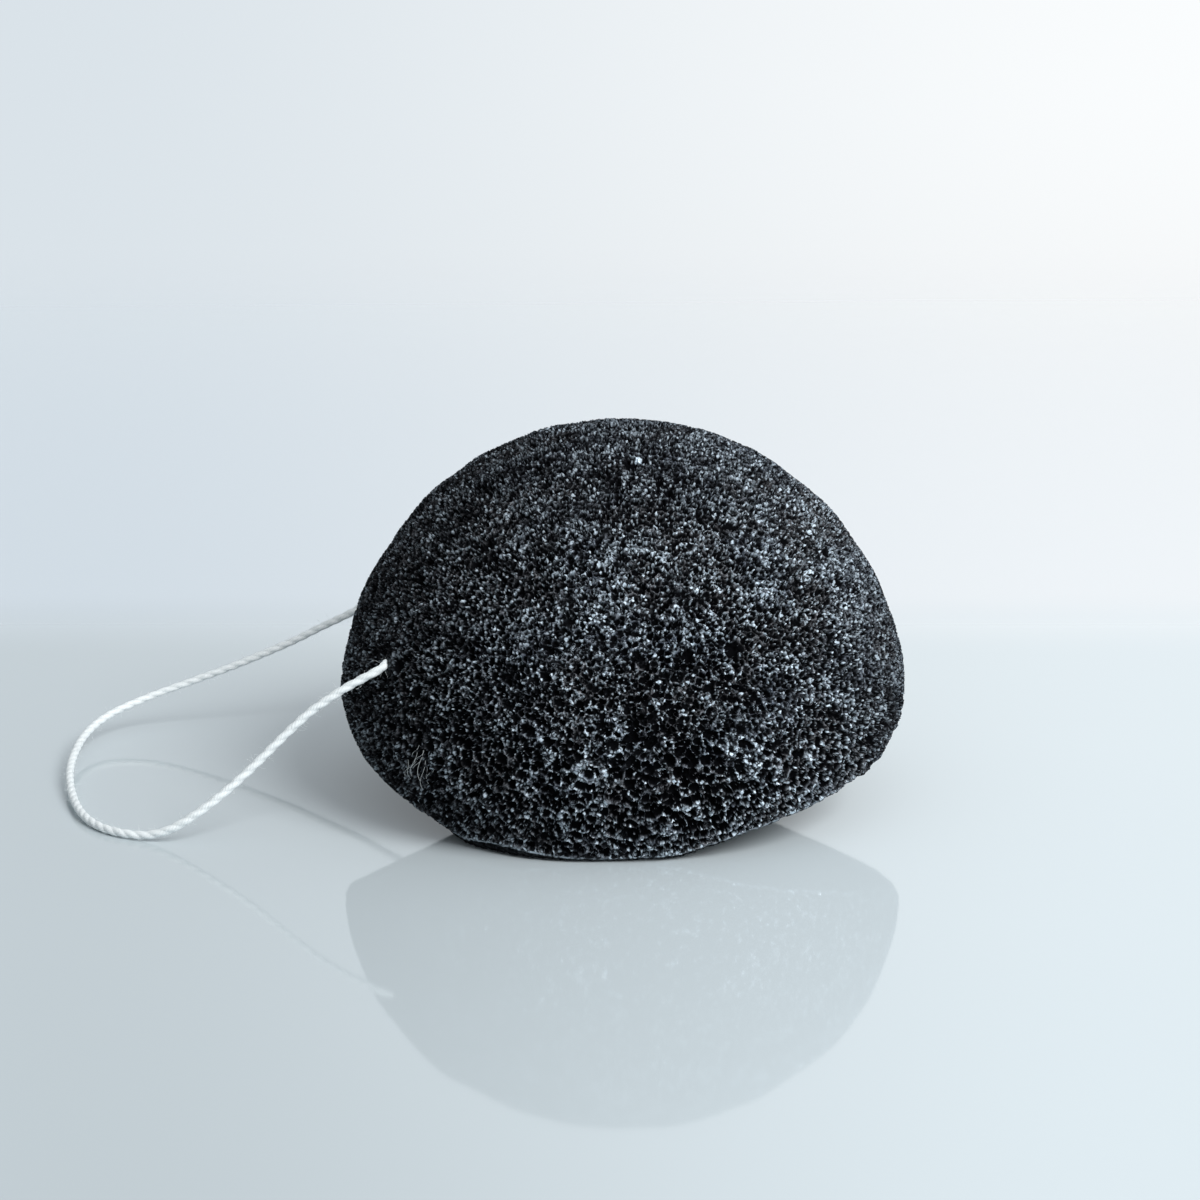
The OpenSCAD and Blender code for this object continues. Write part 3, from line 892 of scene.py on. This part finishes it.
def foam_cells_tree():
    """Opens cells of several sizes in a surface and stores how deep each point went."""
    tree, add, given, out = geometry_tree("foam_cells", [
        ("Cell Size", "Float", 0.9 * MM), ("Coarse Cell Size", "Float", 1.2 * MM),
        ("Fine Cell Size", "Float", 0.4 * MM), ("Cell Depth", "Float", 1 * MM)])
    bubbles = bubble_group()
    place = add.add("GeometryNodeInputPosition").outputs[0]
    normal = add.add("GeometryNodeInputNormal").outputs[0]
    bent = bent_place(add, place)
    thickness = add.ramp(add.noise(place, 1100.0, 1.0), 0.35, 0.65, 0.2, 1.0)

    def layer(cell_size, radius, wall, deepest):
        node = tree.nodes.new("GeometryNodeGroup")
        node.node_tree = bubbles
        for i, value in enumerate((bent, normal, cell_size, radius, add.times(thickness, wall), deepest)):
            add.feed(node.inputs[i], value)
        return node.outputs["Depth"], node.outputs["Tone"]

    deepest = given["Cell Depth"]
    main_depth, main_tone = layer(given["Cell Size"], 0.78, 0.15, deepest)
    coarse_depth, coarse_tone = layer(given["Coarse Cell Size"], 0.74, 0.12, deepest)
    fine_depth, _ = layer(given["Fine Cell Size"], 0.7, 0.14, add.times(deepest, 0.35))
    wide_depth, _ = layer(4.6 * MM, 0.17, 0.02, add.times(deepest, 1.3))
    use_coarse = coarse_here(add, place, add.stored("coarse"))
    rough = add.times(add.noise(place, 2100.0, 1.0), 0.22 * MM)
    depth = add.plus(add.blend(use_coarse, main_depth, coarse_depth), rough)
    depth = add.plus(depth, add.times(fine_depth, 0.6))
    slow = add.ramp(add.noise(place, 75.0, 2.0), 0.25, 0.75, 0.75, 1.15)
    closed = add.minus(1.0, add.times(add.stored("skin"), 0.85))
    depth = add.times(add.larger(depth, wide_depth), slow, closed)
    marked = add.kept(given["Geometry"], "cell_depth", depth)
    marked = add.kept(marked, "cell_tone", add.blend(use_coarse, main_tone, coarse_tone))
    marked = add.kept(marked, "rest_place", place, "FLOAT_VECTOR")
    uneven = add.times(add.minus(add.noise(place, 120.0, 1.0), 0.5), closed)
    height = add.plus(add.minus(add.stored("swell"), depth), add.times(uneven, 1.1 * MM))
    finish_tree(add, given, out, add.moved(marked, add.scaled(normal, height)))
    return tree


def stray_fibres_tree():
    """Lays a few curly fibres on a surface near one place."""
    tree, add, given, out = geometry_tree("stray_fibres", [
        ("Middle", "Vector", None), ("Radius", "Float", 3 * MM), ("Fibres per Square Metre", "Float", 7e5),
        ("Thickness", "Float", 0.05 * MM), ("Seed", "Int", 1)])
    place = add.add("GeometryNodeInputPosition").outputs[0]
    near = add.math("LESS_THAN", add.vector("DISTANCE", place, given["Middle"]), given["Radius"])
    scatter = add.add("GeometryNodeDistributePointsOnFaces", Mesh=given["Geometry"], Selection=near,
                      Density=given["Fibres per Square Metre"], Seed=given["Seed"]).outputs
    hair = add.hair(16, (-2, -0.3, 0.1), (-0.6, 0.6, 0.7), (0.7, -0.5, 0.7), (2.1, 0.4, 0.2))
    size = add.random("FLOAT", 0.5, 1.2)
    spin = add.random("FLOAT_VECTOR", (-0.15, -0.15, 0.5), (0.15, 0.15, 1.35), given["Seed"])
    laid = add.placed(scatter["Points"], hair, scatter["Rotation"], size)
    turned = add.add("GeometryNodeRotateInstances", Instances=laid, Rotation=spin).outputs[0]
    curled = add.moved(add.realized(turned), add.drift(place, 420.0, 1.0, 0.9 * MM))
    finish_tree(add, given, out, add.swept(curled, add.circle(5, add.times(given["Thickness"], 0.5)), True))
    return tree


# The string

def curve_point(route, i, t):
    """A point of the smooth curve through a route, between its points i and i + 1."""
    a, b, c, d = route[max(i - 1, 0)], route[i], route[i + 1], route[min(i + 2, len(route) - 1)]
    return (b + (c - a) * t / 2 + (a - 2.5 * b + 2 * c - d / 2) * t * t
            + (1.5 * b - 1.5 * c + d / 2 - a / 2) * t * t * t)


def smooth_route(route, steps=8):
    """Close points along the smooth curve through a route."""
    route = [Vector(p) for p in route]
    points = [curve_point(route, i, k / steps) for i in range(len(route) - 1) for k in range(steps)]
    return points + [route[-1]]


def in_metres(points):
    return [tuple(v * MM for v in p) for p in points]


def on_channel(*depths):
    """Places on the channel's line, at distances along Y."""
    return [(CHANNEL_X, y, CHANNEL_Z) for y in depths]


def loop_route():
    """The hanging loop's route in metres, from the front of the channel round to the knot."""
    start = on_channel(RUN_FRONT_Y, FRONT_MOUTH_Y)
    return start + in_metres(LOOP_POINTS) + on_channel(KNOT_BACK_Y + STRING_D, KNOT_BACK_Y)


def knot_route(steps=28):
    """Turns round the string, side by side, then a strand that crosses over them and tucks in."""
    points = []
    for i in range(int((KNOT_TURNS + CROSSING_TURN) * steps) + 1):
        turns = i / steps
        over = max(0.0, turns - KNOT_TURNS) / CROSSING_TURN
        radius = KNOT_TURN_R + CROSSING_RISE * math.sin(math.pi * over)
        row = min(KNOT_TURNS - 1, turns) * (1 - over)
        points.append(Vector((CHANNEL_X + radius * math.cos(math.tau * turns),
                              RUN_BACK_Y + STRING_D / 2 + KNOT_PITCH * row,
                              CHANNEL_Z + radius * math.sin(math.tau * turns))))
    return points


def string_curve(name, points):
    """A curve object of one open line."""
    data = bpy.data.curves.new(name, "CURVE")
    data.dimensions = "3D"
    spline = data.splines.new("POLY")
    spline.points.add(len(points) - 1)
    for point, place in zip(spline.points, points):
        point.co = (*place, 1.0)
    return new_piece(name, data)


def yarn_profile(add, ply_r, spot):
    """A ply's outline of five yarns, with the share of the way round stored on it."""
    flat = add.apart(spot)
    angle = add.math("ARCTAN2", flat["Y"], flat["X"])
    swell = add.plus(1.0, add.times(0.06, add.math("COSINE", add.times(angle, 5.0))))
    yarns = add.at(add.circle(20, ply_r), add.scaled(spot, swell))
    return add.kept(yarns, "around", add.math("DIVIDE", add.plus(angle, math.pi), math.tau))


def loose_hairs(add, given, plies, ply_r):
    """Short fibres that stand out of the plies all along, and a brush of them where the string is cut."""
    hair = add.hair(5, (0, 0, 0), (0.1, 0, 0.25), (0.35, 0.1, 0.5), (0.3, 0.3, 0.9))
    size = add.random("FLOAT", 0.4, 1.25)
    scatter = add.add("GeometryNodeDistributePointsOnFaces", Mesh=plies, Seed=given["Seed"],
                      Density=add.times(given["Fibres per Metre"], 90.0)).outputs
    spin = add.random("FLOAT_VECTOR", (0, 0, 0), (math.tau,) * 3, given["Seed"])
    along = add.placed(scatter["Points"], hair, spin, size)
    end = add.add("GeometryNodeSampleCurve", {"mode": "FACTOR"}, Curves=given["Geometry"], Factor=1.0).outputs
    aside = add.random("FLOAT_VECTOR", (-0.6,) * 3, (0.6,) * 3)
    inset = add.vector("ADD", end["Position"], add.scaled(end["Tangent"], -0.35 * MM))
    ends = add.add("GeometryNodePoints", Count=given["End Fibres"],
                   Position=add.vector("ADD", inset, add.scaled(aside, ply_r)))
    fanned = add.add("FunctionNodeAlignRotationToVector", {"axis": "Z"},
                     Vector=add.vector("ADD", end["Tangent"], add.scaled(aside, 0.9)))
    frayed = add.placed(ends.outputs[0], hair, fanned.outputs[0], size)
    hairs = add.swept(add.realized(add.joined(along, frayed)), add.circle(3, HAIR_D / 2), False)
    spread = add.apart(add.add("GeometryNodeInputPosition").outputs[0])
    above = add.larger(spread["Z"], 0.04 * MM)
    over_table = add.add("ShaderNodeCombineXYZ", X=spread["X"], Y=spread["Y"], Z=above)
    return add.at(hairs, over_table.outputs[0])


def twisted_string_tree():
    """Lays two plies round a curve, each a bundle of yarns, and lets a few short fibres stand out."""
    tree, add, given, out = geometry_tree("twisted_string", [
        ("Thickness", "Float", STRING_D), ("Ply Share", "Float", 0.6), ("Pitch", "Float", 3.4 * MM),
        ("Step", "Float", 0.2 * MM), ("Fibres per Metre", "Float", 3500.0), ("End Fibres", "Int", 0),
        ("Seed", "Int", 3)])
    even = add.add("GeometryNodeResampleCurve", {"mode": "LENGTH"},
                   Curve=given["Geometry"], Length=given["Step"])
    along = add.add("GeometryNodeSplineParameter").outputs["Length"]
    spot = add.add("GeometryNodeInputPosition").outputs[0]
    kept = add.kept(add.kept(even.outputs[0], "along", along), "core", spot, "FLOAT_VECTOR")
    normal = add.add("GeometryNodeInputNormal").outputs[0]
    side = add.vector("CROSS_PRODUCT", add.add("GeometryNodeInputTangent").outputs[0], normal)
    ply_r = add.times(given["Thickness"], given["Ply Share"], 0.5)
    lay_r = add.minus(add.times(given["Thickness"], 0.5), ply_r)
    turn = add.math("DIVIDE", add.times(along, math.tau), given["Pitch"])
    profile = yarn_profile(add, ply_r, spot)
    plies = []
    for k in range(2):
        angle = add.plus(turn, math.pi * k)
        offset = add.vector("ADD", add.scaled(normal, add.times(lay_r, add.math("COSINE", angle))),
                            add.scaled(side, add.times(lay_r, add.math("SINE", angle))))
        tilted = add.add("GeometryNodeSetCurveTilt",
                         Curve=add.moved(kept, offset), Tilt=add.times(turn, -1.6))
        plies.append(add.swept(tilted.outputs[0], profile, True))
    both = add.joined(*plies)
    finish_tree(add, given, out, add.joined(both, loose_hairs(add, given, both, ply_r)))
    return tree


def twisted_piece(name, points, string, fibres, seed, end_fibres=0):
    """A piece of twisted string along close points, with its fibres counted to the millimetre."""
    tree = bpy.data.node_groups.get("twisted_string") or twisted_string_tree()
    material = bpy.data.materials.get("twisted_cotton") or cotton_material(string)
    piece = new_piece(name, run_modifier(string_curve(name + "_line", points), tree, {
        "Thickness": STRING_D, "Ply Share": string.ply_share, "Pitch": string.twist_pitch,
        "Step": string.ring_step, "Fibres per Metre": fibres / MM, "End Fibres": end_fibres, "Seed": seed,
        "Material": material}))
    return piece


# The stage

def place_camera(scene):
    camera = bpy.data.objects.new("camera", bpy.data.cameras.new("camera"))
    camera.location = CAMERA_PLACE
    camera.rotation_euler = (math.pi / 2 - CAMERA_PITCH, 0, 0)
    camera.data.lens = CAMERA_LENS
    camera.data.clip_start, camera.data.clip_end = 0.01, 50
    scene.collection.objects.link(camera)
    scene.camera = camera


def hang_sun(scene, stage):
    """A wide soft light from the upper right of the front."""
    sun = bpy.data.lights.new("soft_sun", "SUN")
    sun.energy, sun.angle = stage.sun_strength, SUN_WIDTH
    lamp = bpy.data.objects.new("soft_sun", sun)
    lamp.rotation_euler = Vector(SUN_WAY).to_track_quat("-Z", "Y").to_euler()
    scene.collection.objects.link(lamp)


def fill_surroundings(scene, stage):
    """The even light, and the pale backdrop that the camera, the glass-like and the mirrored rays see."""
    world = bpy.data.worlds.new("surroundings")
    world.use_nodes = True
    scene.world = world
    add = Nodes(world.node_tree)
    path = add.add("ShaderNodeLightPath").outputs
    way = add.apart(add.add("ShaderNodeTexCoord").outputs["Generated"])
    mirrored = add.times(path["Is Glossy Ray"], add.ramp(way["Y"], 0.55, 0.8))
    seen = add.larger(add.larger(path["Is Camera Ray"], mirrored), path["Is Transmission Ray"])
    reach = add.larger(add.math("ABSOLUTE", way["Y"]), 0.1)
    right = add.ramp(add.math("DIVIDE", way["X"], reach), *ACROSS)
    up = add.ramp(add.math("DIVIDE", way["Z"], reach), -0.2, 0.0)
    far_right = add.mix_colour(up, tinted(stage.right_colour, 0.9), tinted(stage.right_colour))
    shown = add.mix_colour(right, tinted(stage.left_colour), far_right)
    light = add.times(add.ramp(way["X"], *SKY_ACROSS), stage.sky_strength, add.ramp(way["Y"], *SKY_ALONG))
    back = world.node_tree.nodes["Background"].inputs
    add.feed(back["Color"], add.mix_colour(seen, SKY_COLOUR, shown))
    add.feed(back["Strength"], add.blend(seen, light, 1.0))


# Operators, one for each piece or group of like pieces

class SPONGE_OT_set_stage(bpy.types.Operator):
    """Makes the camera, the glossy table and the soft light"""

    bl_idname = "sponge.set_stage"
    bl_label = "Set the Stage"

    def execute(self, context):
        scene, stage = context.scene, context.scene.sponge_stage
        scene.view_settings.view_transform = "Standard"
        place_camera(scene)
        corners = [(x * TABLE_REACH, y * TABLE_REACH, 0) for x, y in ((-1, -1), (1, -1), (1, 1), (-1, 1))]
        table = bpy.data.meshes.new("table")
        table.from_pydata(corners, [], [(0, 1, 2, 3)])
        new_piece("table", table, table_material(stage), smooth=False)
        hang_sun(scene, stage)
        fill_surroundings(scene, stage)
        return {"FINISHED"}


class SPONGE_OT_make_loop(bpy.types.Operator):
    """Makes the hanging loop of twisted cotton string"""

    bl_idname = "sponge.make_loop"
    bl_label = "Hanging Loop"

    def execute(self, context):
        points = smooth_route(loop_route())
        loop = twisted_piece("loop_string", points, context.scene.sponge_string, LOOP_HAIRS, 3)
        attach(loop, "hanging_loop")
        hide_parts("cord_loop")
        return {"FINISHED"}


class SPONGE_OT_make_run(bpy.types.Operator):
    """Makes the straight run of string inside the foam"""

    bl_idname = "sponge.make_run"
    bl_label = "Threaded Run"

    def execute(self, context):
        front, back = [Vector(place) for place in on_channel(RUN_FRONT_Y, RUN_BACK_Y)]
        points = [front.lerp(back, k / 40) for k in range(41)]
        run = twisted_piece("threaded_string", points, context.scene.sponge_string, 0.0, 4)
        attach(run, "threaded_run")
        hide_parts("cord_threaded_run")
        return {"FINISHED"}


class SPONGE_OT_make_knot(bpy.types.Operator):
    bl_idname = "sponge.make_knot"
    bl_label = "Knot and Tails"

    def execute(self, context):
        string = context.scene.sponge_string
        long_points = smooth_route(in_metres(TAIL_LONG_POINTS))
        short_points = smooth_route(in_metres(TAIL_SHORT_POINTS))
        knot = twisted_piece("knot_turns", knot_route(), string, KNOT_HAIRS, 5)
        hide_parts("cord_knot")
        long_tail = twisted_piece("long_tail", long_points, string, TAIL_HAIRS, 6, END_HAIRS)
        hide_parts("cord_tail_long")
        short_tail = twisted_piece("short_tail", short_points, string, TAIL_HAIRS, 7, END_HAIRS)
        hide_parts("cord_tail_short")
        for piece in (knot, long_tail, short_tail):
            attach(piece, "hanging_loop")
        return {"FINISHED"}


class SPONGE_OT_make_foam(bpy.types.Operator):
    """Makes the foam body with its open cells"""

    bl_idname = "sponge.make_foam"
    bl_label = "Foam Body"

    def execute(self, context):
        foam = context.scene.sponge_foam
        mesh = even_mesh(foam_form(), foam.mesh_step)
        points = read_values(mesh.vertices, "co", np.float32, 3).astype(float)
        under = mark_foam(mesh, points)
        lay_out_map(mesh, points, under)
        mesh.vertices.foreach_set("co", pinch_at_mouths(points).astype(np.float32).ravel())
        mesh.update()
        body = new_piece("foam_body", run_modifier(new_piece("foam_before_cells", mesh), foam_cells_tree(), {
            "Cell Size": foam.cell_size, "Coarse Cell Size": foam.coarse_cell_size,
            "Fine Cell Size": foam.fine_cell_size, "Cell Depth": foam.cell_depth,
            "Material": foam_material(foam)}))
        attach(body, "sponge")
        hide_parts("sponge_body")
        return {"FINISHED"}


class SPONGE_OT_make_fibres(bpy.types.Operator):
    """Makes the tuft of stray fibres that clings to the foam"""

    bl_idname = "sponge.make_fibres"
    bl_label = "Stray Fibres"

    def execute(self, context):
        owner = new_piece("fibres_before_sweep", foam_form())
        tuft = new_piece("stray_fibres", run_modifier(owner, stray_fibres_tree(), {
            "Middle": TUFT_PLACE, "Radius": TUFT_R, "Thickness": TUFT_HAIR_D, "Seed": 4,
            "Material": bpy.data.materials["twisted_cotton"]}))
        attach(tuft, "sponge")
        return {"FINISHED"}


class SPONGE_PT_panel(bpy.types.Panel):
    """Lists the sponge's settings and makers in the sidebar"""

    bl_idname = "SPONGE_PT_panel"
    bl_label = "Foam Sponge"
    bl_space_type = "VIEW_3D"
    bl_region_type = "UI"
    bl_category = "Sponge"

    def draw(self, context):
        for settings in (context.scene.sponge_foam, context.scene.sponge_string, context.scene.sponge_stage):
            box = self.layout.box()
            for name in settings.bl_rna.properties.keys():
                if name not in ("rna_type", "name"):
                    box.prop(settings, name)
        for maker in MAKERS:
            self.layout.operator(maker.bl_idname)


SETTINGS = {"sponge_foam": FoamSettings, "sponge_string": StringSettings, "sponge_stage": StageSettings}
MAKERS = (SPONGE_OT_set_stage, SPONGE_OT_make_loop, SPONGE_OT_make_run, SPONGE_OT_make_knot,
          SPONGE_OT_make_foam, SPONGE_OT_make_fibres)


def register():
    for kind in (*SETTINGS.values(), *MAKERS, SPONGE_PT_panel):
        bpy.utils.register_class(kind)
    for name, kind in SETTINGS.items():
        setattr(bpy.types.Scene, name, PointerProperty(type=kind))


def unregister():
    for name in SETTINGS:
        delattr(bpy.types.Scene, name)
    for kind in (SPONGE_PT_panel, *reversed(MAKERS), *SETTINGS.values()):
        bpy.utils.unregister_class(kind)


def main():
    register()
    bpy.ops.sponge.set_stage()
    bpy.ops.sponge.make_loop()
    bpy.ops.sponge.make_run()
    bpy.ops.sponge.make_knot()
    bpy.ops.sponge.make_foam()
    bpy.ops.sponge.make_fibres()
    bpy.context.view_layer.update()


if __name__ == "__main__":
    main()
